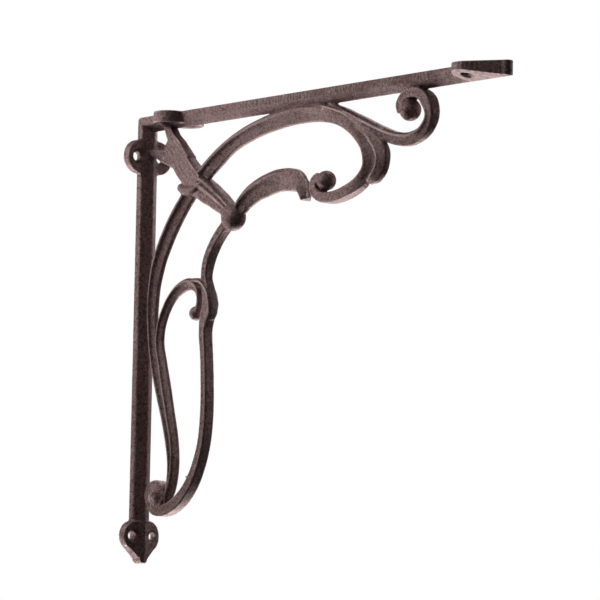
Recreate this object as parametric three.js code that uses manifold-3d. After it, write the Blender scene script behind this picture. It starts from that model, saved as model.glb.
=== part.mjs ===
// Ornate cast iron shelf bracket: one casting, made of a wall bar and a shelf arm that meet in a
// square corner, and of open scrollwork that braces the angle between them.
// Millimetres. The wall is the plane X = 0 and the arm reaches out along +X under the shelf, whose
// plane is square to Z. The casting is the same on both sides of Y = 0. The origin is on the flat
// back of the wall bar, halfway up it.
import * as THREE from 'three';
import Module from 'manifold-3d';
import { mergeVertices } from 'three/addons/utils/BufferGeometryUtils.js';

// Driving dimensions of the bracket.
const wallHeight = 200;
const shelfReach = 235;
const lugSpan = 25;

// The two bars: flat on the back, with a low ridge along the middle of the front.
const barWidth = 9.2;
const barEdge = 3.5;
const ridgeRise = 3.1;
const barDepth = barEdge + ridgeRise;
const cornerRadius = 2.2;

// Round screw ears stand in pairs on the bars. A pair has the radius of its ears, its whole span,
// the spacing of its two holes and the width of their countersinks. The pair near the corner is a
// plain disc of its own thickness, at a distance from the corner. The pair at the end lies under a
// wide, low gable.
const screwHole = 4.2;
const wallEars = {
  radius: 7.6, span: lugSpan, spacing: 13.4, countersink: 7, thickness: 4.2, distance: 17.8,
};
const armEars = {
  radius: 7.2, span: lugSpan, spacing: 13.4, countersink: 7, thickness: 5.2, distance: 23.5,
};
const tipEars = { radius: 6.4, span: lugSpan, spacing: 13.4, countersink: 5.8 };
const footEars = { radius: 6.8, span: lugSpan - 5, spacing: 11.6, countersink: 5.4 };

// Past its last ears a bar ends in a blunt point. That of the wall bar is short, and that of the
// arm is a long taper from the full width of its ears.
const wallPoint = { length: 12.2, root: 6.8, start: 5.6, tip: 2 };
const armPoint = { length: 19.6, root: 12.2, start: 2.6, tip: 2.6 };

// Facets: the spans of a strip are cut into steps, fewer where it bends little or its places lie
// close, and round forms are cut into sides.
const fineSteps = 3;
const coarseSteps = 2;
const roundSides = 20;
const knobSides = 16;

const wasm = await Module();
wasm.setup();

// A closed three.js geometry becomes a solid that can be joined and cut.
function solidOf(geometry) {
  const bare = geometry.index ? geometry.toNonIndexed() : geometry.clone();
  bare.deleteAttribute('normal');
  bare.deleteAttribute('uv');
  const welded = mergeVertices(bare, 1e-4);
  const corners = welded.index.array;
  const kept = [];
  for (let i = 0; i < corners.length; i += 3) {
    const [a, b, c] = [corners[i], corners[i + 1], corners[i + 2]];
    if (a !== b && b !== c && c !== a) kept.push(a, b, c);
  }
  const vertProperties = new Float32Array(welded.attributes.position.array);
  const triVerts = new Uint32Array(kept);
  return new wasm.Manifold(new wasm.Mesh({ numProp: 3, vertProperties, triVerts }));
}

// A solid becomes a three.js geometry again.
function geometryOf(solid) {
  const mesh = solid.getMesh();
  const geometry = new THREE.BufferGeometry();
  geometry.setAttribute('position', new THREE.BufferAttribute(mesh.vertProperties, 3));
  geometry.setIndex(new THREE.BufferAttribute(mesh.triVerts, 1));
  const flat = geometry.toNonIndexed();
  flat.computeVertexNormals();
  return flat;
}

function join(solids) {
  return solids.reduce((whole, piece) => whole.add(piece));
}

// A bar is drawn hanging down the wall from the outer corner: X is the depth from the back, Y runs
// across, and the bar runs down -Z. The shelf arm is the same bar, turned up under the shelf.
const downWall = new THREE.Matrix4();
const underShelf = new THREE.Matrix4().set(0, 0, -1, 0, 0, -1, 0, 0, -1, 0, 0, 0, 0, 0, 0, 1);

// A prism along the bar, with a flat back and a front that rises from both edges to a ridge.
function gable(width, length) {
  const section = new THREE.Shape();
  section.moveTo(0, -width / 2);
  section.lineTo(barEdge, -width / 2);
  section.lineTo(barDepth, 0);
  section.lineTo(barEdge, width / 2);
  section.lineTo(0, width / 2);
  const geometry = new THREE.ExtrudeGeometry(section, { depth: length, bevelEnabled: false });
  return geometry.translate(0, 0, -length);
}

// A plate that stands on the back plane, cut to an outline drawn in across and along.
function plate(outline, thickness) {
  const shape = { depth: thickness, bevelEnabled: false, curveSegments: roundSides / 2 };
  const upright = new THREE.Matrix4().set(0, 0, 1, 0, 1, 0, 0, 0, 0, 1, 0, 0, 0, 0, 0, 1);
  return new THREE.ExtrudeGeometry(outline, shape).applyMatrix4(upright);
}

function disc(across, along, radius, thickness) {
  const outline = new THREE.Shape();
  outline.absarc(across, along, radius, 0, 2 * Math.PI, false);
  return plate(outline, thickness);
}

// The cone of a countersink, which opens to its width at a surface in front of the back plane.
function sink(across, along, surface, width) {
  const clear = 1;
  const depth = (width - screwHole) / 2 + clear;
  const cone = new THREE.CylinderGeometry(width / 2 + clear, screwHole / 2, depth, roundSides);
  return cone.rotateZ(-Math.PI / 2).translate(surface + clear - depth / 2, across, along);
}

// The blunt point of a bar, from its root beside the last ears to its rounded end.
function point(length, { length: past, root, start, tip }) {
  const outline = new THREE.Shape();
  const from = past - length - start;
  const shoulder = tip - length;
  outline.moveTo(root, from);
  outline.lineTo(-root, from);
  outline.lineTo(-tip, shoulder);
  outline.absarc(0, shoulder, tip, Math.PI, 2 * Math.PI, false);
  return plate(outline, barDepth);
}

// A pair of ears at a distance from the corner, and the cuts for its two screws.
function earPair(distance, ears, surface) {
  const { radius, span, spacing, countersink, thickness = barDepth } = ears;
  const bodies = [];
  const holes = [];
  for (const side of [-1, 1]) {
    bodies.push(disc(side * (span / 2 - radius), -distance, radius, thickness));
    holes.push(disc((side * spacing) / 2, -distance, screwHole / 2, barDepth));
    holes.push(sink((side * spacing) / 2, -distance, surface, countersink));
  }
  return { bodies, holes };
}

// One bar with its ears. The last ears and the point lie under one wide, low gable, so that the
// ridge line runs on through them to the end of the bar.
function ridgedBar(length, innerEars, blunt, lastEars, placed) {
  const lastEarsAt = length - blunt.length;
  const solid = (geometry) => solidOf(geometry.applyMatrix4(placed));
  const inner = earPair(innerEars.distance, innerEars, innerEars.thickness);
  const last = earPair(lastEarsAt, lastEars, barDepth - (ridgeRise * lastEars.spacing) / lugSpan);
  const plates = join([point(length, blunt), ...last.bodies].map(solid));
  const lugs = plates.intersect(solid(gable(lugSpan, length)));
  const body = join([lugs, solid(gable(barWidth, lastEarsAt)), ...inner.bodies.map(solid)]);
  return { body, holes: [...inner.holes, ...last.holes].map(solid) };
}

// What the rounded outer corner takes away from the two bars.
function cornerCut() {
  const outline = new THREE.Shape();
  outline.moveTo(-1, 1);
  outline.lineTo(-1, -cornerRadius);
  outline.lineTo(0, -cornerRadius);
  outline.absarc(cornerRadius, -cornerRadius, cornerRadius, Math.PI, Math.PI / 2, true);
  outline.lineTo(cornerRadius, 1);
  const shape = { depth: lugSpan, bevelEnabled: false, curveSegments: roundSides / 4 };
  const geometry = new THREE.ExtrudeGeometry(outline, shape).rotateX(Math.PI / 2);
  return geometry.translate(0, lugSpan / 2, 0);
}

// Places of the scrollwork are given in millimetres from the outer corner, along the arm and down
// the wall, on a bracket of the drawn sizes. They move with the real sizes: what lies at the front
// of a bar stays there, and what lies at a far end stays there too.
const drawn = { reach: 235, height: 200, bar: 6.6 };

function spread(place, real, drawnSize) {
  return barDepth + ((place - drawn.bar) * (real - barDepth)) / (drawnSize - drawn.bar);
}

const along = (x) => spread(x, shelfReach, drawn.reach);
const down = (z) => -spread(-z, wallHeight, drawn.height);

// A strip follows a smooth line through its places. Each is [along the arm, down the wall, width in
// the plane of the scrolls, depth across it].
function stationsAlong(places, steps) {
  const path = new THREE.CatmullRomCurve3(
    places.map(([x, z]) => new THREE.Vector3(along(x), 0, down(z))),
  );
  const sizes = new THREE.CatmullRomCurve3(places.map(([, , w, d]) => new THREE.Vector3(w, 0, d)));
  const count = (places.length - 1) * steps;
  return Array.from({ length: count + 1 }, (_, i) => {
    const tangent = path.getTangent(i / count);
    const size = sizes.getPoint(i / count);
    const across = new THREE.Vector3(-tangent.z, 0, tangent.x).normalize();
    return { centre: path.getPoint(i / count), across, width: size.x, depth: size.z };
  });
}

// A profile is one face of a strip, as [place across the width, share of the depth]. Going along
// the strip, -0.5 is its right-hand edge as the near face shows it and 0.5 its left-hand edge.
const ridged = [[-0.5, 0.62], [0.18, 1], [0.5, 0.7]];
const ridgedFarSide = [[-0.5, 0.7], [-0.18, 1], [0.5, 0.62]];
const ribbed = [
  [-0.5, 0.5], [-0.36, 0.92], [-0.24, 0.72], [-0.1, 1], [0.02, 0.8], [0.14, 1], [0.27, 0.74],
  [0.39, 0.94], [0.5, 0.5],
];
const rounded = [[-0.5, 0.4], [-0.32, 0.82], [0, 1], [0.32, 0.82], [0.5, 0.4]];

function strip(places, profile = ridged, steps = fineSteps) {
  const stations = stationsAlong(places, steps);
  const ring = [...profile.map(([a, d]) => [a, -d]), ...[...profile].reverse()];
  const positions = [];
  for (const { centre, across, width, depth } of stations) {
    for (const [a, d] of ring) {
      const x = centre.x + across.x * a * width;
      const z = centre.z + across.z * a * width;
      positions.push(x, (d * depth) / 2, z);
    }
  }
  const sides = ring.length;
  const last = (stations.length - 1) * sides;
  const faces = [];
  for (let start = 0; start < last; start += sides) {
    for (let j = 0; j < sides; j += 1) {
      const a = start + j;
      const b = start + ((j + 1) % sides);
      faces.push(a, b + sides, b, a, a + sides, b + sides);
    }
  }
  for (let j = 1; j + 1 < sides; j += 1) {
    faces.push(0, j, j + 1);
    faces.push(last, last + j + 1, last + j);
  }
  const geometry = new THREE.BufferGeometry();
  geometry.setAttribute('position', new THREE.Float32BufferAttribute(positions, 3));
  geometry.setIndex(faces);
  return geometry;
}

// A round knob with two domed faces, on an axis across the casting.
const dome = [
  [0, -1], [0.5, -0.92], [0.84, -0.66], [1, -0.26], [1, 0.26], [0.84, 0.66], [0.5, 0.92], [0, 1],
];

function knob(x, z, radius, depth) {
  const points = dome.map(([r, y]) => new THREE.Vector2(r * radius, (y * depth) / 2));
  return new THREE.LatheGeometry(points, knobSides).translate(along(x), 0, down(z));
}

// The main scroll rises beside the wall bar, arches over to the arm and turns down into the large C.
const mainScroll = [
  [22.4, -175, 2.8, 5.2], [24.6, -157, 3.8, 5], [20.6, -139, 4, 5], [16.3, -127, 3.9, 5],
  [12.7, -116, 3.5, 5.2], [10, -104, 3.7, 5.6], [8.9, -91, 4.1, 6], [9.3, -79, 4.7, 6.2],
  [12, -67, 5.8, 6.4], [16.9, -57, 6.3, 6.4], [23.4, -47.4, 6.4, 6.4], [31.4, -38.4, 6.1, 6.4],
  [40, -30.9, 6.5, 6.4], [49.8, -24, 6.6, 6.4], [61.6, -17.4, 5.9, 6.4], [75.8, -12.8, 6.3, 6.4],
  [92, -9.8, 6.7, 6.4], [108, -8.7, 6.9, 6.4], [122, -10, 6.8, 6.4], [134, -13.6, 6.7, 6.4],
  [143.8, -19.8, 6.6, 6.4], [150.5, -28, 6.2, 6.4], [151.3, -36, 5.6, 6.4],
  [146.6, -41.6, 5.4, 6.4], [138.4, -45.2, 5, 6.2], [129, -47, 4.8, 6], [121.2, -46.1, 4.6, 6],
  [117.2, -42.6, 4.4, 6], [117.6, -39.4, 4.6, 5.6], [120.4, -37.6, 4.6, 5],
];

// A second band lies along the outside of the C and ends in a lobe below it.
const outerBand = [
  [110, -6.2, 2, 3], [124, -8.6, 3.4, 5.9], [135, -12.2, 3.8, 6.3], [145.4, -17.6, 4.4, 6.4],
  [153.6, -23.8, 5.2, 6.6], [158.8, -31, 5.8, 6.6], [158.2, -37, 5.2, 6.4], [154.8, -40.8, 4.4, 6],
  [151, -42.6, 2.2, 4.2],
];

// The side branch leaves the band, runs out under the arm and rolls up against it.
const sideBranch = [
  [124, -6.2, 2.4, 3], [138, -12.8, 4.4, 6], [148, -17.5, 5, 6.4], [158, -21.9, 5, 6.4],
  [168, -25.4, 5, 6.4], [177, -26.4, 5, 6.4], [184.8, -23.8, 4.6, 6.4], [188.6, -18.2, 4.2, 6.4],
  [186.6, -11.8, 5.2, 6.4], [182, -8, 4.4, 6.4], [174.4, -8.2, 4.2, 6.2], [170.6, -11.6, 3.6, 6],
  [171, -15.4, 2.6, 5.6],
];

// The long loop starts at its inner knob, arches over, and runs down beside the main scroll.
const loopLeft = [
  [39.4, -91, 2.6, 5], [41, -87.4, 2.8, 5.2], [41.2, -83.6, 3, 5.4], [40, -80, 3.6, 5.4],
  [35.2, -77.1, 4.6, 5.4], [28, -78.5, 4.4, 5.2], [22.5, -82.2, 3.7, 5], [18, -88, 3.3, 5],
  [14.8, -95.4, 3.3, 5], [14.2, -103, 3.3, 5], [16.4, -112, 3.6, 5], [19.2, -123, 4.2, 5],
  [22.6, -135.4, 3.8, 5], [25.7, -147, 3.3, 5], [26.4, -158, 3.3, 5.2], [24.6, -167, 3.4, 5.2],
  [20.6, -174.6, 3.2, 5.2],
];

// Its arch ends in a tongue that lies over the other side of the loop.
const loopTongue = [
  [36.6, -77, 4.2, 5.4], [43, -78, 4.6, 6.2], [47.1, -82, 4.8, 6.4], [48.9, -86.8, 4.2, 6.4],
  [49.4, -90.8, 2.4, 5.4], [48.8, -94, 0.8, 4.2],
];

// The other side of the loop drops from the leaf's knob, swells, and sweeps round the bottom.
const loopRight = [
  [60, -52, 4.4, 5], [54.7, -56.4, 4, 5], [50.2, -61.6, 3.9, 5.2], [46.6, -68, 3.7, 5.2],
  [45.2, -75, 3.5, 4.6], [46.6, -81.4, 5, 4.6], [47.6, -87.4, 5.8, 4.8], [46, -93.2, 5.6, 5],
  [45.2, -99, 4, 5.4], [46.2, -109, 3.5, 5.4], [47.1, -122, 3.6, 5.4], [47.2, -136, 3.8, 5.4],
  [45.8, -148, 3.8, 5.4], [42.2, -158.4, 4.2, 5.4], [37.4, -166.4, 4.6, 5.6], [30.4, -173, 5, 5.8],
  [22, -176.8, 4.8, 6], [14.6, -176.9, 4, 5.6], [10.4, -174.2, 2.6, 4.8],
];

// The leaf grows from the corner in two prongs and narrows to a rolled lip. A second leaf runs on
// from there to a round knob.
const wallProng = [
  [5.4, -15.8, 2.4, 5], [10.4, -17.2, 4, 5.2], [16.8, -19.2, 6, 5.6], [24, -22.6, 5.6, 5.6],
];
const armProng = [
  [17.4, -5, 4, 5], [20.2, -10, 5.4, 4.6], [24.6, -15.6, 7.4, 5], [30.4, -22.6, 8.2, 5.6],
];
const fan = [
  [17, -13.4, 5.6, 4.6], [20.6, -16, 9.6, 5], [25.2, -20, 10.8, 5.4], [30.6, -25.8, 11.4, 6],
  [35.8, -30.4, 11.2, 6.8], [40.6, -33.2, 8.4, 7.4],
];
const lowerLeaf = [
  [36, -32.2, 8, 7], [40, -34.2, 10, 7.6], [46, -37.6, 10.2, 8], [52.4, -41.4, 8.8, 8],
  [59.4, -46.2, 7, 7.6], [64, -50, 5.4, 6.6],
];
const rolledLip = [
  [26.4, -32.8, 2.2, 4.4], [28, -33.9, 4, 7], [31.6, -35.7, 4.8, 8.6], [36.6, -36.2, 4.4, 9],
  [42, -34, 2.6, 8], [45.4, -31.8, 1.6, 6.6],
];

// A short arm springs from the leaf's knob and hooks down beside the C.
const hookArm = [
  [65, -49.4, 5, 5.6], [69.4, -44.4, 6.6, 6.2], [76.6, -40.1, 7.6, 6.4], [85.6, -37.4, 8.4, 6.4],
  [95, -36, 8.6, 6.4], [103.6, -37.2, 9.2, 6.4], [109, -40.6, 6.4, 6.2], [111.4, -46.4, 3.8, 6],
];

// The scrolls end in round knobs: [along the arm, down the wall, radius, depth across].
const knobs = [
  [123.3, -39.3, 4.3, 8.4], [175.2, -14.3, 4.8, 9], [38.6, -90.6, 3.2, 6.4],
  [15.4, -170.1, 6.5, 8.6], [62.6, -49.8, 6.2, 10],
];

function scrollwork() {
  return [
    strip(mainScroll),
    strip(outerBand),
    strip(sideBranch),
    strip(loopLeft, ridgedFarSide, coarseSteps),
    strip(loopTongue),
    strip(loopRight, ridged, coarseSteps),
    strip(hookArm),
    strip(wallProng, ribbed, coarseSteps),
    strip(armProng, ribbed, coarseSteps),
    strip(fan, ribbed, coarseSteps),
    strip(lowerLeaf, ribbed, coarseSteps),
    strip(rolledLip, rounded, coarseSteps),
    ...knobs.map(([x, z, radius, depth]) => knob(x, z, radius, depth)),
  ];
}

const wallBar = ridgedBar(wallHeight, wallEars, wallPoint, footEars, downWall);
const shelfArm = ridgedBar(shelfReach, armEars, armPoint, tipEars, underShelf);
const solid = join([wallBar.body, shelfArm.body, ...scrollwork().map(solidOf)]);
const cuts = join([solidOf(cornerCut()), ...wallBar.holes, ...shelfArm.holes]);

const iron = new THREE.MeshStandardMaterial({ color: 0x4a3f3d, roughness: 0.62, metalness: 0.75 });
const bracket = new THREE.Mesh(geometryOf(solid.subtract(cuts)), iron);
bracket.name = 'bracket_casting';
bracket.position.z = wallHeight / 2;

const group = new THREE.Group();
group.add(bracket);
export default group;
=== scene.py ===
# %% [markdown]
# # A cast iron shelf bracket
# The bracket is one sand casting. A wall bar and a shelf arm meet in a square corner, screw ears
# stand out from both, and open scrollwork braces the angle. This lesson models each form of the
# casting by hand, melts the forms into one skin as the mould does, and gives the skin its brown,
# grainy finish.

import math

import bmesh
import bpy
from mathutils import Matrix, Vector


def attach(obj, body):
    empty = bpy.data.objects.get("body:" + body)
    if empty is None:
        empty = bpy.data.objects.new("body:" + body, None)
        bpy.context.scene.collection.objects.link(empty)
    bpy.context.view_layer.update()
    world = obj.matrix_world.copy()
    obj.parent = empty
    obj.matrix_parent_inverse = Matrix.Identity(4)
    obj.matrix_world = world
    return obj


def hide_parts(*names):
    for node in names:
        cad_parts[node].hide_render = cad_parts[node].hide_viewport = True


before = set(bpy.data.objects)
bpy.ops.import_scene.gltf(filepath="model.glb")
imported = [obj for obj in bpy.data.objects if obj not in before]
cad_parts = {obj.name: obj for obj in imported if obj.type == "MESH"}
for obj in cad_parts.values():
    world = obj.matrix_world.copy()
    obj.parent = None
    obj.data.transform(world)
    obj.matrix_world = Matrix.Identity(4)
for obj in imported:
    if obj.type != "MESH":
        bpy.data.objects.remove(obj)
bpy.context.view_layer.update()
bpy.ops.object.select_all(action="DESELECT")
print("nodes:", sorted(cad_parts))

# %% [markdown]
# Everything is drawn in millimetres from the outer corner, where the back of the wall bar and the
# top of the shelf arm meet, because that is how a pattern maker would mark it out. X runs out along
# the arm, Z runs down the wall as negative numbers, and Y is the thickness. The packed part has
# its origin halfway up the wall, so one helper turns a drawn point into a place in metres.

# %% Sizes of the bracket
MM = 0.001
WALL_HEIGHT = 200
SHELF_REACH = 235
LUG_SPAN = 25


def place(x, y, z):
    """A point drawn in millimetres from the outer corner, in metres from the wall mount."""
    return Vector((x, y, z + WALL_HEIGHT / 2)) * MM


print("drawn box in metres:", place(0, -LUG_SPAN / 2, -WALL_HEIGHT), place(SHELF_REACH, LUG_SPAN / 2, 0))

# %% [markdown]
# An operator works on whatever is selected. Four short helpers keep that under control. One names a
# new object and opens it in edit mode, one selects vertices or faces by a rule on their place, one
# ends the editing with clean normals, and one adds a modifier and applies it at once.

# %% Helpers for modelling by hand
def start(name):
    """Names the new primitive and opens it for editing."""
    piece = bpy.context.object
    piece.name = piece.data.name = name
    bpy.ops.object.transform_apply(location=True, rotation=True, scale=True)
    bpy.ops.object.mode_set(mode="EDIT")
    return piece


def pick(piece, rule, faces=False):
    """Selects the vertices whose place obeys the rule, or the faces whose centre does."""
    bpy.ops.mesh.select_all(action="DESELECT")
    bpy.ops.mesh.select_mode(type="FACE" if faces else "VERT")
    mesh = bmesh.from_edit_mesh(piece.data)
    for item in mesh.faces if faces else mesh.verts:
        item.select = rule(item.calc_center_median() if faces else item.co)
    mesh.select_flush_mode()
    bmesh.update_edit_mesh(piece.data)


def close(piece):
    """Merges doubles, turns the faces outwards and leaves edit mode."""
    bpy.ops.mesh.select_mode(type="VERT")
    bpy.ops.mesh.select_all(action="SELECT")
    bpy.ops.mesh.remove_doubles(threshold=0.00001)
    bpy.ops.mesh.normals_make_consistent(inside=False)
    bpy.ops.object.mode_set(mode="OBJECT")
    piece.select_set(False)
    return piece


def apply(piece, kind, **settings):
    """Adds one modifier, sets it up and applies it."""
    bpy.context.view_layer.objects.active = piece
    piece.select_set(True)
    bpy.ops.object.modifier_add(type=kind)
    modifier = piece.modifiers[-1]
    for key, value in settings.items():
        setattr(modifier, key, value)
    bpy.ops.object.modifier_apply(modifier=modifier.name)
    piece.select_set(False)


print("helpers:", [helper.__name__ for helper in (start, pick, close, apply)])

# %% [markdown]
# A bar is flat on the back and has a low ridge along its front, like a roof. A cube is the plain
# start: its front face is extruded and pinched to a ridge, and a small bevel breaks the edges, as
# sand never casts a sharp one. Every form of the two bars is drawn on a wall bar first, and one
# function then leaves it there or lays it under the shelf.

# %% Wall bar and shelf arm
BAR_WIDTH = 9.2
BAR_EDGE = 3.5
RIDGE_RISE = 3.1
BAR_DEPTH = BAR_EDGE + RIDGE_RISE
RIDGE_SHARE = 0.06
BAR_BEVEL = 0.35
WALL_FOOT = 12.2
ARM_TIP = 19.6
SLACK = 0.1


def standing(x, y, z):
    """A point of the wall bar stays as it is drawn."""
    return x, y, z


def lying(x, y, z):
    """A point drawn for a bar that hangs down the wall, turned up under the shelf."""
    return -z, -y, -x


def turned(piece, direction):
    """Moves a piece drawn as a wall bar, in plain millimetres, to its place on the bracket."""
    for vert in piece.data.vertices:
        vert.co = place(*direction(*vert.co))
    piece.data.update()
    bpy.context.view_layer.objects.active = piece
    bpy.ops.object.mode_set(mode="EDIT")
    return close(piece)


def bar(name, length, direction):
    """A bar from the corner to the centre of its last ears, flat behind and ridged in front."""
    bpy.ops.mesh.primitive_cube_add(size=1, location=(BAR_EDGE / 2, 0, -length / 2))
    bpy.context.object.scale = (BAR_EDGE, BAR_WIDTH, length)
    piece = start(name)
    pick(piece, lambda centre: centre.x > BAR_EDGE - SLACK, faces=True)
    bpy.ops.mesh.extrude_region_move(TRANSFORM_OT_translate={"value": (RIDGE_RISE, 0, 0)})
    bpy.ops.transform.resize(value=(1, RIDGE_SHARE, 1))
    bpy.ops.mesh.select_all(action="SELECT")
    bpy.ops.mesh.bevel(offset=BAR_BEVEL, segments=2, affect="EDGES")
    bpy.ops.object.mode_set(mode="OBJECT")
    return turned(piece, direction)


wall_bar = bar("wall_bar", WALL_HEIGHT - WALL_FOOT, standing)
shelf_arm = bar("shelf_arm", SHELF_REACH - ARM_TIP, lying)
print("bars:", [len(piece.data.vertices) for piece in (wall_bar, shelf_arm)])

# %% [markdown]
# The two bars meet in a corner that the mould leaves a little round. Bisect slices a mesh with a
# plane and fills the cut, so three slices at growing angles round the corner. They are made on the
# single bars, where a slice has only one simple outline to fill.

# %% The rounded corner
CORNER_RADIUS = 2.2
CORNER_SLICES = (22.5, 45, 67.5)

for piece in (wall_bar, shelf_arm):
    bpy.context.view_layer.objects.active = piece
    bpy.ops.object.mode_set(mode="EDIT")
    for angle in CORNER_SLICES:
        out = Vector((-math.cos(math.radians(angle)), 0, math.sin(math.radians(angle))))
        corner = place(CORNER_RADIUS, 0, -CORNER_RADIUS) + out * CORNER_RADIUS * MM
        bpy.ops.mesh.select_all(action="SELECT")
        bpy.ops.mesh.bisect(
            plane_co=corner, plane_no=out, use_fill=True, clear_outer=True, threshold=1e-6
        )
    close(piece)
print("rounded:", [len(piece.data.vertices) for piece in (wall_bar, shelf_arm)])

# %% [markdown]
# The ears near the corner on each bar are plain round discs. The last pair of each bar and its
# blunt point lie under one wide, low roof. Each ear is a cylinder, and each point a box with a
# narrower end and a small disc at its tip. What lies under the roof is cut by its two sloping
# planes with bisect.

# %% Making an ear or a point
EAR_BEVEL = 0.7


def under_roof(piece):
    """Slices off what rises above the wide roof, on both sides of its ridge."""
    for side in (-1, 1):
        bpy.ops.mesh.select_all(action="SELECT")
        bpy.ops.mesh.bisect(
            plane_co=(BAR_DEPTH, 0, 0),
            plane_no=Vector((LUG_SPAN / 2, side * RIDGE_RISE, 0)).normalized(),
            use_fill=True,
            clear_outer=True,
        )


def ear(name, across, along, radius, direction, thickness=None):
    """A round ear: a disc of its own thickness, or one that is cut to the roof."""
    depth = thickness or BAR_DEPTH
    bpy.ops.mesh.primitive_cylinder_add(
        vertices=64,
        radius=radius,
        depth=depth,
        location=(depth / 2, across, -along),
        rotation=(0, math.pi / 2, 0),
    )
    piece = start(name)
    if not thickness:
        under_roof(piece)
    bpy.ops.mesh.select_all(action="SELECT")
    bpy.ops.mesh.bevel(offset=EAR_BEVEL, segments=3, affect="EDGES", clamp_overlap=True)
    bpy.ops.object.mode_set(mode="OBJECT")
    return turned(piece, direction)


def blunt_point(name, length, past, root, start_at, tip, direction):
    """The tapering part of a point, from beside the last ears to its round tip."""
    top, end = past - length - start_at, tip - length
    bpy.ops.mesh.primitive_cube_add(size=1, location=(BAR_DEPTH / 2, 0, (top + end) / 2))
    bpy.context.object.scale = (BAR_DEPTH, 2 * root, top - end)
    piece = start(name)
    pick(piece, lambda co: co.z < end + SLACK)
    bpy.ops.transform.resize(value=(1, tip / root, 1))
    under_roof(piece)
    bpy.ops.object.mode_set(mode="OBJECT")
    return turned(piece, direction)


print("ridge above the flat back:", BAR_DEPTH, "mm")

# %% The four pairs of ears
SPACING = 13.4
FOOT_SPAN = 20
FOOT_SPACING = 11.6
FOOT_RADIUS = 6.8
EARS = [
    # bar, direction, down the bar, radius, span, thickness, spacing of the screws, countersink
    ("wall", standing, 17.8, 7.6, LUG_SPAN, 4.2, SPACING, 7),
    ("foot", standing, WALL_HEIGHT - WALL_FOOT, FOOT_RADIUS, FOOT_SPAN, None, FOOT_SPACING, 5.4),
    ("arm", lying, 23.5, 7.2, LUG_SPAN, 5.2, SPACING, 7),
    ("tip", lying, SHELF_REACH - ARM_TIP, 6.4, LUG_SPAN, None, SPACING, 5.8),
]
ears = []
for kind, direction, along, radius, span, thickness, spacing, sink in EARS:
    for side, word in ((-1, "near"), (1, "far")):
        across = side * (span / 2 - radius)
        ears.append(ear(f"{kind}_ear_{word}", across, along, radius, direction, thickness))
print("ears:", [piece.name for piece in ears])

# %% The two points
WALL_TIP = 2
WALL_TAPER_START = 5.6
POINT_TIP = 2.6
POINT_ROOT = 12.2

points = [
    blunt_point("wall_point", WALL_HEIGHT, WALL_FOOT, FOOT_RADIUS, WALL_TAPER_START, WALL_TIP, standing),
    blunt_point("arm_point", SHELF_REACH, ARM_TIP, POINT_ROOT, POINT_TIP, POINT_TIP, lying),
    ear("wall_tip", 0, WALL_HEIGHT - WALL_TIP, WALL_TIP, standing),
    ear("arm_tip", 0, SHELF_REACH - POINT_TIP, POINT_TIP, lying),
]
print("points:", [piece.name for piece in points])

# %% [markdown]
# The scrolls are strips with a section that swells and thins along the way. The places below are
# [along the arm, down the wall, width in the plane, depth across]. A smooth line runs through them,
# and the section is extruded from station to station along it, which is how a strip would be drawn
# by hand, only with many more steps. A curve with a bevel profile was the other choice, but its one
# radius can't change the width and the depth apart.

# %% A smooth line through places
def on_span(places, t):
    """The point at the share t of one span, on a smooth line through four places."""
    a, b, c, d = places
    gaps = [max((q - p).length ** 0.5, 1e-4) for p, q in ((a, b), (b, c), (c, d))]
    one, two, three = gaps
    leave = ((b - a) / one - (c - a) / (one + two) + (c - b) / two) * two
    arrive = ((c - b) / two - (d - b) / (two + three) + (d - c) / three) * two
    return (
        b
        + leave * t
        + (3 * (c - b) - 2 * leave - arrive) * t * t
        + (2 * (b - c) + leave + arrive) * t * t * t
    )


def smooth_line(points, step):
    """Points at about one step apart along the line, with their shares of the spans."""
    full = [2 * points[0] - points[1], *points, 2 * points[-1] - points[-2]]
    line = []
    for i in range(len(points) - 1):
        count = max(2, math.ceil((points[i + 1] - points[i]).length / step))
        line += [(i + k / count, on_span(full[i : i + 4], k / count)) for k in range(count)]
    return line + [(len(points) - 1, points[-1])]


def stations(places, step):
    """Each station's share of the places, and a matrix that carries a unit section to it."""
    line = smooth_line([Vector((x, 0, z)) for x, z, w, d in places], step)
    found = []
    for n, (share, centre) in enumerate(line):
        before, after = line[max(n - 1, 0)][1], line[min(n + 1, len(line) - 1)][1]
        ahead = (after - before).normalized()
        i = min(int(share), len(places) - 2)
        t = share - i
        t = t * t * (3 - 2 * t)
        width, depth = (places[i][k] * (1 - t) + places[i + 1][k] * t for k in (2, 3))
        across = Vector((-ahead.z, 0, ahead.x))
        matrix = Matrix((across * width * MM, Vector((0, depth / 2 * MM, 0)), ahead * MM)).transposed()
        found.append((share, Matrix.Translation(place(*centre)) @ matrix.to_4x4()))
    return found


elbow = [Vector((0, 0, 0)), Vector((10, 0, 0)), Vector((10, 0, -10))]
print("points round an elbow:", len(smooth_line(elbow, 1)))

# %% [markdown]
# A strip starts as a circle with as many corners as its section, pulled to the first station's
# section. Each extrusion makes the next ring in the place of the last, and its corners are then
# moved to the next station.

# %% Drawing a strip
STEP = 1.3
FINE_STEP = 0.8


def section_at(sections, share):
    """The section at a share of the places, blended between the two that are named around it."""
    stops = sorted(sections)
    low = max([stop for stop in stops if stop <= share], default=stops[0])
    high = min([stop for stop in stops if stop >= share], default=stops[-1])
    t = (share - low) / (high - low) if high > low else 0
    return [
        (a * (1 - t) + c * t, b * (1 - t) + d * t)
        for (a, b), (c, d) in zip(sections[low], sections[high])
    ]


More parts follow.
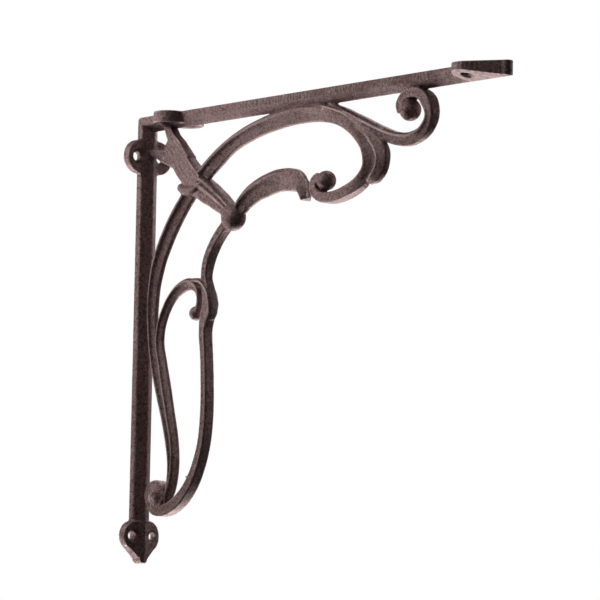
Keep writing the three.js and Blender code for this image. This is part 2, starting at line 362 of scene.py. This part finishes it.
def strip(name, places, sections, step=STEP):
    """Extrudes sections, given as [across, depth] on the near face, along a smooth line."""
    if isinstance(sections, list):
        sections = {0: sections}
    rings = []
    for share, carry in stations(places, step):
        near = section_at(sections, share)
        ring = [(a, -d) for a, d in near] + [(a, d) for a, d in reversed(near)]
        rings.append([carry @ Vector((a, d, 0)) for a, d in ring])
    bpy.ops.mesh.primitive_circle_add(vertices=len(rings[0]), radius=1, fill_type="NGON")
    piece = start(name)
    mesh = bmesh.from_edit_mesh(piece.data)
    for vert, corner in zip(mesh.verts, rings[0]):
        vert.co = corner
    bpy.ops.mesh.select_all(action="SELECT")
    for here, there in zip(rings, rings[1:]):
        bpy.ops.mesh.extrude_region_move()
        mesh = bmesh.from_edit_mesh(piece.data)
        for vert in mesh.verts:
            if vert.select:
                same = min(range(len(here)), key=lambda n: (here[n] - vert.co).length_squared)
                vert.co = there[same]
    bmesh.update_edit_mesh(piece.data)
    return close(piece)


print("step between rings:", STEP, "mm, and in the leaf", FINE_STEP, "mm")

# %% [markdown]
# Each strip has one of a few sections, drawn for its near face and repeated on the far one, as
# shares of its width and of half its depth. Most of the main scroll is a wedge: a bead near its
# outer edge catches the light as the fine line seen on the casting, and a broad face falls away
# from it. In the C the face becomes a hollow that falls from its inner edge. The strand on the
# right of the loop is a flat strip with soft edges.

# %% Sections
WEDGE = [
    (-0.64, 0.14), (-0.6, 0.34), (-0.3, 0.44), (-0.02, 0.6), (0.12, 0.98), (0.28, 1.0),
    (0.38, 0.74), (0.5, 0.56),
]
WEDGE_LEFT = [(-a, d) for a, d in reversed(WEDGE)]
HOLLOW = [
    (-0.5, 0.7), (-0.47, 0.9), (-0.4, 1.0), (-0.3, 0.97), (-0.05, 0.72), (0.2, 0.44),
    (0.36, 0.32), (0.5, 0.32),
]
FLAT = [
    (-0.5, 0.82), (-0.42, 0.97), (-0.3, 1.0), (0.0, 0.95), (0.2, 0.95), (0.32, 1.0),
    (0.43, 0.97), (0.5, 0.82),
]
OUTWARD = [
    (-0.5, 0.6), (-0.4, 0.9), (-0.3, 1.0), (-0.18, 1.0), (-0.06, 0.86), (0.2, 0.7),
    (0.5, 0.5), (0.56, 0.34),
]
ROUNDED = [
    (-0.5, 0.4), (-0.44, 0.66), (-0.3, 0.88), (-0.1, 0.98), (0.1, 0.98), (0.3, 0.88),
    (0.44, 0.66), (0.5, 0.4),
]
print("corners of the wedge:", len(WEDGE), "on each face")

# %% [markdown]
# The main scroll rises from the foot of the loop, runs close beside the wall bar, passes under the
# leaf and along the arm, and turns back in a C. An outer band follows it down the turn, and a side
# branch leaves it for the end of the arm. A table of sections says which one each stretch has, by
# the number of the place, and the strip blends from one to the next.

# %% Main scroll, outer band and side branch
MAIN_SCROLL = [
    (22.4, -175, 2.8, 5.2), (24.6, -157, 3.8, 5), (20.6, -139, 4, 5), (16.3, -127, 3.9, 5),
    (12.7, -116, 3.5, 5.2), (10, -104, 3.7, 5.6), (8.9, -91, 4.1, 6), (9.3, -79, 4.7, 6.2),
    (12, -67, 5.8, 6.4), (16.9, -57, 6.3, 6.4), (23.4, -47.4, 6.4, 6.4), (31.4, -38.4, 6.1, 6.4),
    (40, -30.9, 6.5, 6.4), (49.8, -24, 6.6, 6.4), (61.6, -17.4, 5.9, 6.4), (75.8, -12.8, 6.3, 6.4),
    (92, -9.8, 6.7, 6.4), (108, -8.7, 6.9, 6.4), (122, -10, 6.8, 6.4), (134, -13.6, 6.7, 6.4),
    (143.8, -19.8, 6.6, 6.4), (150.5, -28, 6.2, 6.4), (151.3, -36, 5.6, 6.4), (146.6, -41.6, 5.4, 6.4),
    (138.4, -45.2, 5, 6.2), (129, -47, 4.8, 6), (121.2, -46.1, 4.6, 6), (117.2, -42.6, 4.4, 6),
    (117.6, -39.4, 4.6, 5.6), (120.4, -37.6, 4.6, 5),
]
OUTER_BAND = [
    (110, -6.2, 2, 3), (124, -8.6, 3.4, 5.9), (135, -12.2, 3.8, 6.3), (145.4, -17.6, 4.4, 6.4),
    (153.6, -23.8, 5.2, 6.6), (158.8, -31, 5.8, 6.6), (158.2, -37, 5.2, 6.4), (154.8, -40.8, 4.4, 6),
    (151, -42.6, 2.2, 4.2),
]
SIDE_BRANCH = [
    (124, -6.2, 2.4, 3), (138, -12.8, 4.4, 6), (148, -17.5, 5, 6.4), (158, -21.9, 5, 6.4),
    (168, -25.4, 5, 6.4), (177, -26.4, 5, 6.4), (184.8, -23.8, 4.6, 6.4), (188.6, -18.2, 4.2, 6.4),
    (186.6, -11.8, 5.2, 6.4), (182, -8, 4.4, 6.4), (174.4, -8.2, 4.2, 6.2), (170.6, -11.6, 3.6, 6),
    (171, -15.4, 2.6, 5.6),
]
scrolls = [
    strip("main_scroll", MAIN_SCROLL, {0: WEDGE, 17: WEDGE, 20: HOLLOW, 22: HOLLOW, 24: FLAT, 29: FLAT}),
    strip("outer_band", OUTER_BAND, {0: WEDGE, 2: WEDGE, 4: OUTWARD}),
    strip("side_branch", SIDE_BRANCH, {0: WEDGE, 5: WEDGE, 8: FLAT}),
]
print("scrolls:", [len(piece.data.polygons) for piece in scrolls])

# %% [markdown]
# The strand under the leaf's knob swells, then goes down and round into the foot, and a second
# strand comes back up from there and curls over against it, which closes a long loop. A short
# tongue hugs the curl. The hooked arm springs from the same knob towards the C. One small burr is
# left where the metal ran into a crack of the mould.

# %% The long loop and the hooked arm
LOOP_LEFT = [
    (39.4, -91, 2.6, 5), (41, -87.4, 2.8, 5.2), (41.2, -83.6, 3, 5.4), (40, -80, 3.6, 5.4),
    (35.2, -77.1, 4.6, 5.4), (28, -78.5, 4.4, 5.2), (22.5, -82.2, 3.7, 5), (18, -88, 3.3, 5),
    (14.8, -95.4, 3.3, 5), (14.2, -103, 3.3, 5), (16.4, -112, 3.6, 5), (19.2, -123, 4.2, 5),
    (22.6, -135.4, 3.8, 5), (25.7, -147, 3.3, 5), (26.4, -158, 3.3, 5.2), (24.6, -167, 3.4, 5.2),
    (20.6, -174.6, 3.2, 5.2),
]
LOOP_TONGUE = [
    (36.6, -77, 4.2, 5.4), (43, -78, 4.6, 6.2), (47.1, -82, 4.8, 6.4), (48.9, -86.8, 4.2, 6.4),
    (49.4, -90.8, 2.4, 5.4), (48.8, -94, 0.8, 4.2),
]
LOOP_RIGHT = [
    (60, -52, 4.4, 5), (54.7, -56.4, 4, 5), (50.2, -61.6, 3.9, 5.2), (46.6, -68, 3.7, 5.2),
    (45.2, -75, 3.5, 4.6), (46.6, -81.4, 5, 4.6), (47.6, -87.4, 5.8, 4.8), (46, -93.2, 5.6, 5),
    (45.2, -99, 4, 5.4), (46.2, -109, 3.5, 5.4), (47.1, -122, 3.6, 5.4), (47.2, -136, 3.8, 5.4),
    (45.8, -148, 3.8, 5.4), (42.2, -158.4, 4.2, 5.4), (37.4, -166.4, 4.6, 5.6), (30.4, -173, 5, 5.8),
    (22, -176.8, 4.8, 6), (14.6, -176.9, 4, 5.6), (10.4, -174.2, 2.6, 4.8),
]
HOOK_ARM = [
    (65, -49.4, 5, 5.6), (69.4, -44.4, 6.6, 6.2), (76.6, -40.1, 7.6, 6.4), (85.6, -37.4, 8.4, 6.4),
    (95, -36, 8.6, 6.4), (103.6, -37.2, 9.2, 6.4), (109, -40.6, 6.4, 6.2), (111.4, -46.4, 3.8, 6),
]
BURR_STEP = 0.5
BURR = [(37.4, -163.2, 1.6, 2.4), (35.4, -162.9, 1.4, 1.9), (33.9, -162.3, 0.7, 1)]
scrolls += [
    strip("loop_left", LOOP_LEFT, {0: ROUNDED, 2: WEDGE_LEFT}),
    strip("loop_tongue", LOOP_TONGUE, WEDGE),
    strip("loop_right", LOOP_RIGHT, FLAT),
    strip("hook_arm", HOOK_ARM, {0: WEDGE, 4: WEDGE, 6: HOLLOW, 7: HOLLOW}),
    strip("burr", BURR, ROUNDED, BURR_STEP),
]
print("strips with the loop and the arm:", len(scrolls))

# %% [markdown]
# The leaf is a fan of fine veins that springs from both bars, with a gap between its two prongs. It
# narrows to a rolled lip, and a second leaf with a few broad ribs runs on from there to the knob.
# The veins are the same few corners of the section, repeated across the leaf, and the rings stand
# closer than in the scrolls.

# %% Sections of the leaf
VEINS = 5
VEIN_SPACING = 0.19
VEINED = [(-0.5, 0.5), (-0.47, 0.78)]
for vein in range(VEINS):
    middle = (vein - (VEINS - 1) / 2) * VEIN_SPACING
    VEINED += [(middle - 0.07, 0.86), (middle, 1.0), (middle + 0.06, 0.95)]
VEINED += [(0.47, 0.78), (0.5, 0.5)]
RIBBED = [
    (-0.5, 0.4), (-0.47, 0.7), (-0.34, 0.86), (-0.22, 0.74), (-0.08, 0.7), (0.04, 1.0),
    (0.12, 0.98), (0.2, 0.72), (0.3, 0.94), (0.38, 0.9), (0.47, 0.64), (0.5, 0.4),
]
print("corners of the veined and the ribbed face:", len(VEINED), len(RIBBED))

# %% The leaf in the corner
WALL_PRONG = [
    (5.4, -15.8, 2.4, 5), (10.4, -17.2, 4, 5.2), (16.8, -19.2, 6, 5.6), (24, -22.6, 5.6, 5.6),
]
ARM_PRONG = [(17.4, -5, 4, 5), (20.2, -10, 5.4, 4.6), (24.6, -15.6, 7.4, 5), (30.4, -22.6, 8.2, 5.6)]
FAN = [
    (17, -13.4, 5.6, 4.6), (20.6, -16, 9.6, 5), (25.2, -20, 10.8, 5.4), (30.6, -25.8, 11.4, 6),
    (35.8, -30.4, 11.2, 6.8), (40.6, -33.2, 8.4, 7.4),
]
LOWER_LEAF = [
    (36, -32.2, 8, 7), (40, -34.2, 10, 7.6), (46, -37.6, 10.2, 8), (52.4, -41.4, 8.8, 8),
    (59.4, -46.2, 7, 7.6), (64, -50, 5.4, 6.6),
]
ROLLED_LIP = [
    (26.4, -32.8, 2.2, 4.4), (28, -33.9, 4, 7), (31.6, -35.7, 4.8, 8.6), (36.6, -36.2, 4.4, 9),
    (42, -34, 2.6, 8), (45.4, -31.8, 1.6, 6.6),
]
leaf = [
    strip("wall_prong", WALL_PRONG, VEINED, FINE_STEP),
    strip("arm_prong", ARM_PRONG, VEINED, FINE_STEP),
    strip("fan", FAN, VEINED, FINE_STEP),
    strip("lower_leaf", LOWER_LEAF, RIBBED, FINE_STEP),
    strip("rolled_lip", ROLLED_LIP, ROUNDED, FINE_STEP),
]
print("leaf:", [len(piece.data.polygons) for piece in leaf])

# %% [markdown]
# The scrolls end in round knobs. Each is a sphere, pressed flatter across the casting. The foot of
# the loop is a broader boss with a domed face.

# %% Knobs
BOSS_BEVEL = 0.9


def knob(name, x, z, radius, depth):
    """A sphere of a radius in the plane of the scrolls, and of its own depth across them."""
    centre = place(x, 0, z)
    bpy.ops.mesh.primitive_uv_sphere_add(segments=40, ring_count=24, radius=radius * MM, location=centre)
    bpy.context.object.scale = (1, depth / (2 * radius), 1)
    return close(start(name))


def boss(name, x, z, radius, depth):
    """A low disc with a wide bevel, on an axis across the casting."""
    bpy.ops.mesh.primitive_cylinder_add(
        vertices=48,
        radius=radius * MM,
        depth=depth * MM,
        location=place(x, 0, z),
        rotation=(math.pi / 2, 0, 0),
    )
    piece = start(name)
    bpy.ops.mesh.bevel(offset=BOSS_BEVEL * MM, segments=3, affect="EDGES")
    return close(piece)


knobs = [
    knob("c_knob", 123.3, -39.3, 4.3, 8.4),
    knob("branch_knob", 175.2, -14.3, 4.8, 9),
    knob("loop_knob", 38.6, -90.6, 3.2, 6.4),
    knob("foot_knob", 16, -170, 5.9, 9.2),
    knob("leaf_knob", 62.6, -49.8, 6.2, 10),
    boss("foot_boss", 15.2, -170.1, 6.7, 6),
]
print("knobs:", [piece.name for piece in knobs])

# %% [markdown]
# In the mould all these forms are one hollow, so Boolean unions join them into one body. A remesh
# alone would melt them together too, but screw holes are cut more cleanly from an exact body.

# %% One casting
casting = wall_bar
for piece in (shelf_arm, *ears, *points, *scrolls, *leaf, *knobs):
    apply(casting, "BOOLEAN", operation="UNION", solver="MANIFOLD", object=piece)
    bpy.data.objects.remove(piece)
casting.name = casting.data.name = "cast_bracket"
print("joined:", len(casting.data.polygons), "faces")

# %% [markdown]
# A screw hole is drilled through each ear, and countersunk from the front for the head of a wood
# screw. Its two tools are a cylinder and a cone, which stands proud of the surface so that the cut
# is clean, and a Boolean difference takes each out of the casting.

# %% Screw holes
SCREW_HOLE = 4.2
PROUD = 1
HOLE_SIDES = 40


def drill(across, along, surface, sink, direction):
    """A screw hole with a countersink that opens at the front of the ear."""
    through = (0, math.pi / 2, 0)
    cone = (sink - SCREW_HOLE) / 2 + PROUD
    bpy.ops.mesh.primitive_cylinder_add(
        vertices=HOLE_SIDES,
        radius=SCREW_HOLE / 2,
        depth=4 * BAR_DEPTH,
        location=(0, across, -along),
        rotation=through,
    )
    tools = [start("hole")]
    bpy.ops.object.mode_set(mode="OBJECT")
    bpy.ops.mesh.primitive_cone_add(
        vertices=HOLE_SIDES,
        radius1=SCREW_HOLE / 2,
        radius2=sink / 2 + PROUD,
        depth=cone,
        location=(surface + PROUD - cone / 2, across, -along),
        rotation=through,
    )
    tools.append(start("countersink"))
    bpy.ops.object.mode_set(mode="OBJECT")
    for tool in tools:
        turned(tool, direction)
        apply(casting, "BOOLEAN", operation="DIFFERENCE", solver="MANIFOLD", object=tool)
        bpy.data.objects.remove(tool)


for kind, direction, along, radius, span, thickness, spacing, sink in EARS:
    surface = thickness or BAR_DEPTH - RIDGE_RISE * spacing / LUG_SPAN
    for side in (-1, 1):
        drill(side * spacing / 2, along, surface, sink, direction)

print("drilled:", len(casting.data.polygons), "faces")

# %% [markdown]
# Sand rounds every edge and fills every sharp join. Remeshing the body into even small faces and
# smoothing it gives that soft skin, and Decimate then keeps small faces only where the form bends.

# %% Sand-cast skin
VOXEL = 0.37
SKIN_TRIANGLES = 190000

apply(casting, "REMESH", mode="VOXEL", voxel_size=VOXEL * MM)
print("remeshed:", len(casting.data.polygons))
apply(casting, "SMOOTH", factor=0.5, iterations=2)
apply(casting, "DECIMATE", ratio=SKIN_TRIANGLES / (2 * len(casting.data.polygons)))
print("skin:", len(casting.data.polygons))

# %% [markdown]
# The finish is an antique brown over bare iron: a grey-mauve skin with a fine sand grain, darker
# brown where wax and rust sit in the hollows, deepened there by painted shade, and paler metal
# where handling has worn the ridges.
# All of it is made by noise in object coordinates, so it lies on the casting from every side. A
# small class lets shader maths be written as plain expressions: a wire stands for a socket, and
# each operator adds the node that does the sum.

# %% A small language for shader nodes
class Wire:
    """A socket that can be used in Python expressions."""

    def __init__(self, tree, socket):
        self.tree, self.socket = tree, socket

    def node(self, kind, settings=None, out=0, **inputs):
        """Adds a node: its settings first, then the values or wires of its inputs."""
        node = self.tree.nodes.new(kind)
        for key, value in (settings or {}).items():
            setattr(node, key, value)
        for key, value in inputs.items():
            wanted = int(key[1:]) if key[1:].isdigit() else key.replace("_", " ")
            socket = node.inputs[wanted]
            if isinstance(value, Wire):
                self.tree.links.new(value.socket, socket)
            else:
                socket.default_value = value
        return Wire(self.tree, node.outputs[out])

    def maths(self, operation, *values):
        """Adds a Math node on one, two or three values or wires."""
        inputs = {f"i{n}": value for n, value in enumerate(values)}
        return self.node("ShaderNodeMath", {"operation": operation}, **inputs)

    def __add__(self, other):
        return self.maths("ADD", self, other)

    def __radd__(self, other):
        return self.maths("ADD", other, self)

    def __sub__(self, other):
        return self.maths("SUBTRACT", self, other)

    def __rsub__(self, other):
        return self.maths("SUBTRACT", other, self)

    def __mul__(self, other):
        return self.maths("MULTIPLY", self, other)

    def __rmul__(self, other):
        return self.maths("MULTIPLY", other, self)

    def __abs__(self):
        return self.maths("ABSOLUTE", self)

    def between(self, low, high):
        """0 below low, 1 above high and a smooth rise from one to the other."""
        smooth = {"interpolation_type": "SMOOTHSTEP"}
        return self.node("ShaderNodeMapRange", smooth, Value=self, From_Min=low, From_Max=high)

    def blend(self, first, second):
        """The first colour where this is 0, the second where it is 1."""
        colours = {"data_type": "RGBA"}
        return self.node("ShaderNodeMix", colours, out=2, i0=self, i6=first, i7=second)


print("a wire can:", [name for name in vars(Wire) if not name.startswith("__")])

# %% Grain, wear, and rust and painted shade in the hollows
iron = bpy.data.materials.new("antique_brown_iron")
iron.use_nodes = True
shader = iron.node_tree.nodes["Principled BSDF"]
where = Wire(iron.node_tree, iron.node_tree.nodes.new("ShaderNodeTexCoord").outputs["Object"])


def noise(scale, detail=3, roughness=0.5):
    """Soft noise; the scale is the number of its waves in a metre, more or less."""
    return where.node(
        "ShaderNodeTexNoise", Vector=where, Scale=scale, Detail=detail, Roughness=roughness
    )


sand = noise(1900, 2, 0.6)
clumps = noise(700, 3, 0.65)
patches = noise(30, 4, 0.6)
pits = where.node("ShaderNodeTexVoronoi", Vector=where, Scale=700)
bend = where.node("ShaderNodeNewGeometry", out="Pointiness")
worn = bend.between(0.505, 0.56)
# Concave places are darkened by rust and wax and also by painted shade.
hollow_rust_and_shade = 1 - bend.between(0.43, 0.495)
print("nodes for the grain:", len(iron.node_tree.nodes))

# %% [markdown]
# The sides of the arm were dressed with a file, which left short strokes, and a darker band of
# painted shade lies across them. A mask keeps the strokes and the painted shade to the upright side
# faces of the arm, away from both its ends. The strokes are the bands of a wave texture, bent by its
# own distortion and broken up by a noise.

# %% File marks and painted shade on the sides of the arm
ARM_UNDERSIDE = (0.0935, 0.094)
SIDE_FACE_IN, SIDE_FACE_OUT = (0.004, 0.0044), (0.0048, 0.005)
FILED_AND_SHADED_FROM, FILED_AND_SHADED_TO = (0.05, 0.1), (0.19, 0.2)


def axis(letter):
    """One coordinate of the place on the casting, in metres from the wall mount."""
    return where.node("ShaderNodeSeparateXYZ", out=letter, Vector=where)


reach, offset = axis("X"), abs(axis("Y"))
above = axis("Z").between(*ARM_UNDERSIDE)
side = above * offset.between(*SIDE_FACE_IN) * (1 - offset.between(*SIDE_FACE_OUT))
# The band of painted shade on the arm's side faces, away from the corner; the file strokes keep to it too.
filed_and_shaded = side * reach.between(*FILED_AND_SHADED_FROM) * (1 - reach.between(*FILED_AND_SHADED_TO))
strokes = where.node(
    "ShaderNodeTexWave",
    {"bands_direction": "X"},
    Vector=where,
    Scale=150,
    Distortion=9,
    Detail=3,
    Detail_Scale=2,
)
marks = strokes.between(0.5, 0.8) * filed_and_shaded * noise(90).between(0.4, 0.6)
print("nodes with the file marks:", len(iron.node_tree.nodes))

# %% [markdown]
# The colour is laid on in coats, from the ground up, and each coat is blended over the last by its
# own mask: brown in two tones, pale grains of sand, dark clumps, rust and painted shade in the
# hollows, a band of painted shade with file strokes on the arm's sides, and bare metal on the worn
# ridges. Bare metal is smoother too, and the same grains raise and pit the surface through one bump.

# %% Colour, roughness and grain
EARTH_BROWN, MAUVE_BROWN = (0.225, 0.138, 0.125, 1), (0.325, 0.222, 0.215, 1)
# The near-black brown in the hollows is rust and painted shade together.
SAND_GRAIN, DARK_CLUMP, RUST_AND_SHADE = (0.68, 0.485, 0.49, 1), (0.06, 0.036, 0.031, 1), (0.03, 0.017, 0.015, 1)
# The dark band on the arm's sides is painted shade; the pale strokes are file marks.
PAINTED_SIDE_SHADE, FILE_STROKE, BARE_METAL = (0.09, 0.05, 0.045, 1), (0.62, 0.46, 0.46, 1), (0.84, 0.65, 0.655, 1)

brown = patches.between(0.35, 0.7).blend(EARTH_BROWN, MAUVE_BROWN)
grainy = (sand.between(0.42, 0.64) * 0.6).blend(brown, SAND_GRAIN)
dark = (clumps.between(0.48, 0.64) * 0.5).blend(grainy, DARK_CLUMP)
# Rust and painted shade darken the hollows.
rusted_and_shaded = (hollow_rust_and_shade * 0.9).blend(dark, RUST_AND_SHADE)
# Painted shade darkens the middle of the arm's side faces.
shaded = (filed_and_shaded * 0.42).blend(rusted_and_shaded, PAINTED_SIDE_SHADE)
stroked = (marks * 0.36).blend(shaded, FILE_STROKE)
colour = (worn * 0.6).blend(stroked, BARE_METAL)
rough = 0.46 + 0.2 * clumps - 0.12 * worn
relief = 0.55 * sand + 0.4 * clumps + 0.3 * pits - 0.3 * marks
bumped = where.node("ShaderNodeBump", Strength=0.9, Distance=0.4 * MM, Height=relief)

for name, wire in {"Base Color": colour, "Roughness": rough, "Normal": bumped}.items():
    iron.node_tree.links.new(wire.socket, shader.inputs[name])
shader.inputs["Metallic"].default_value = 0.85
print("nodes of the finish:", len(iron.node_tree.nodes))

# %% The finish on the casting
SHARP_ANGLE = 40

casting.data.materials.clear()
casting.data.materials.append(iron)
bpy.context.view_layer.objects.active = casting
casting.select_set(True)
bpy.ops.object.shade_smooth_by_angle(angle=math.radians(SHARP_ANGLE))
casting.select_set(False)
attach(casting, "root")
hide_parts("bracket_casting")
print("finish:", [slot.name for slot in casting.material_slots])

# %% [markdown]
# The bracket hangs high above a plain pale floor. The floor glows a little, so that it stays pale
# from above, and it sheds no light on the iron, because that would wash out the dark undersides.

# %% Floor
FLOOR_SIZE = 6
FLOOR_HEIGHT = -0.9
PALE = (0.9, 0.9, 0.9, 1)

bpy.ops.mesh.primitive_plane_add(size=FLOOR_SIZE, location=(0, 0, FLOOR_HEIGHT))
floor = bpy.context.object
floor.name = "floor"
paint = bpy.data.materials.new("pale_floor")
paint.use_nodes = True
look = {"Base Color": PALE, "Roughness": 0.9, "Emission Color": PALE, "Emission Strength": 0.7}
for name, value in look.items():
    paint.node_tree.nodes["Principled BSDF"].inputs[name].default_value = value
floor.data.materials.append(paint)
floor.visible_diffuse = floor.visible_glossy = False
print("floor:", FLOOR_HEIGHT, "m below the mount")

# %% [markdown]
# Behind the bracket the camera sees plain white. Iron mirrors what is round it, and in a white room
# it would look white, so every other ray meets a dim room. The Light Path node tells them apart.

# %% World
DIM, WHITE = (0.032, 0.029, 0.029, 1), (1, 1, 1, 1)

world = bpy.data.worlds.new("studio")
bpy.context.scene.world = world
world.use_nodes = True
tree = world.node_tree
camera_ray = Wire(tree, tree.nodes.new("ShaderNodeLightPath").outputs["Is Camera Ray"])
glow = camera_ray.blend(DIM, WHITE)
tree.links.new(glow.socket, tree.nodes["Background"].inputs["Color"])
print("world:", world.name, "with", len(tree.nodes), "nodes")

# %% [markdown]
# The light comes from soft square sheets, because metal shows a lamp as a bright patch, and a wide
# lamp leaves a wide, soft one. Three sheets stand low, on the wall's side and on the far side, and
# give the pale lower edges and undersides. Small weak ones over the corner and the arm open the
# near faces. The last four are there for the views from the other sides.

# %% Soft lights
MIDDLE = (0.1, 0, 0)
SHEETS = [
    # name, place, what it is turned to, side, watts
    ("left_sheet", (-0.73, -0.12, -0.33), MIDDLE, 0.5, 3.4),
    ("low_sheet", (-0.36, 0.55, -0.55), MIDDLE, 0.5, 4.6),
    ("slope_sheet", (-0.57, 0.14, -0.58), (0.14, 0, 0.05), 0.3, 1.2),
    ("corner_sheet", (-0.2, -0.35, 0.3), (0.08, 0, 0.08), 0.25, 0.6),
    ("near_glow", (-0.3, -0.15, 0.15), (0.1, 0, 0.09), 0.25, 0.18),
    ("arm_glow", (0.15, -0.35, 0.3), (0.12, 0, 0.08), 0.25, 0.1),
    ("rear_sheet", (-0.5, 0.75, 0.4), MIDDLE, 0.5, 3),
    ("top_sheet", (-0.1, 0.3, 0.9), MIDDLE, 0.6, 2),
    ("front_sheet", (0, -0.9, 0.1), MIDDLE, 0.5, 0.15),
    ("back_sheet", (0.35, 0.85, 0.17), MIDDLE, 0.5, 1),
]


def softbox(name, stand, target, side, power):
    """A square sheet of light that faces its target."""
    bpy.ops.object.light_add(type="AREA", location=stand)
    lamp = bpy.context.object
    lamp.name = name
    lamp.data.shape = "RECTANGLE"
    lamp.data.size = lamp.data.size_y = side
    lamp.data.energy = power
    lamp.rotation_euler = (Vector(target) - Vector(stand)).to_track_quat("-Z", "Y").to_euler()
    return lamp


lamps = [softbox(*sheet) for sheet in SHEETS]
print("lights:", [lamp.name for lamp in lamps])

# %% [markdown]
# The photograph is taken from well to the right of the bracket's side and from a little below it,
# from far enough away that the bars hardly converge. The camera is set by the place it stands at,
# the direction it looks from and a slight roll. Its three axes are worked out and put into its
# matrix, because a roll about the view is awkward to give as three turns.

# %% Camera
AZIMUTH, ELEVATION, ROLL = math.radians(48.75), math.radians(-6.25), math.radians(1.10)
LENS, SENSOR = 240, 36

bpy.ops.object.camera_add(location=place(1386.277, -1121.27, -275.7))
camera = bpy.context.object
back = Vector(
    (math.sin(AZIMUTH) * math.cos(ELEVATION), -math.cos(AZIMUTH) * math.cos(ELEVATION), math.sin(ELEVATION))
)
right = Vector((math.cos(AZIMUTH), math.sin(AZIMUTH), 0))
up = back.cross(right)
roll = Matrix.Rotation(ROLL, 3, back)
axes = Matrix((roll @ right, roll @ up, back)).transposed()
camera.matrix_world = Matrix.Translation(camera.location) @ axes.to_4x4()
camera.data.lens, camera.data.sensor_width = LENS, SENSOR
camera.data.clip_start, camera.data.clip_end = 0.05, 20
bpy.context.scene.camera = camera
bpy.context.scene.view_settings.view_transform = "Standard"
print("camera:", [round(value, 3) for value in camera.location])

# %% [markdown]
# The dressed bracket has to stay inside the solid one's sizes.
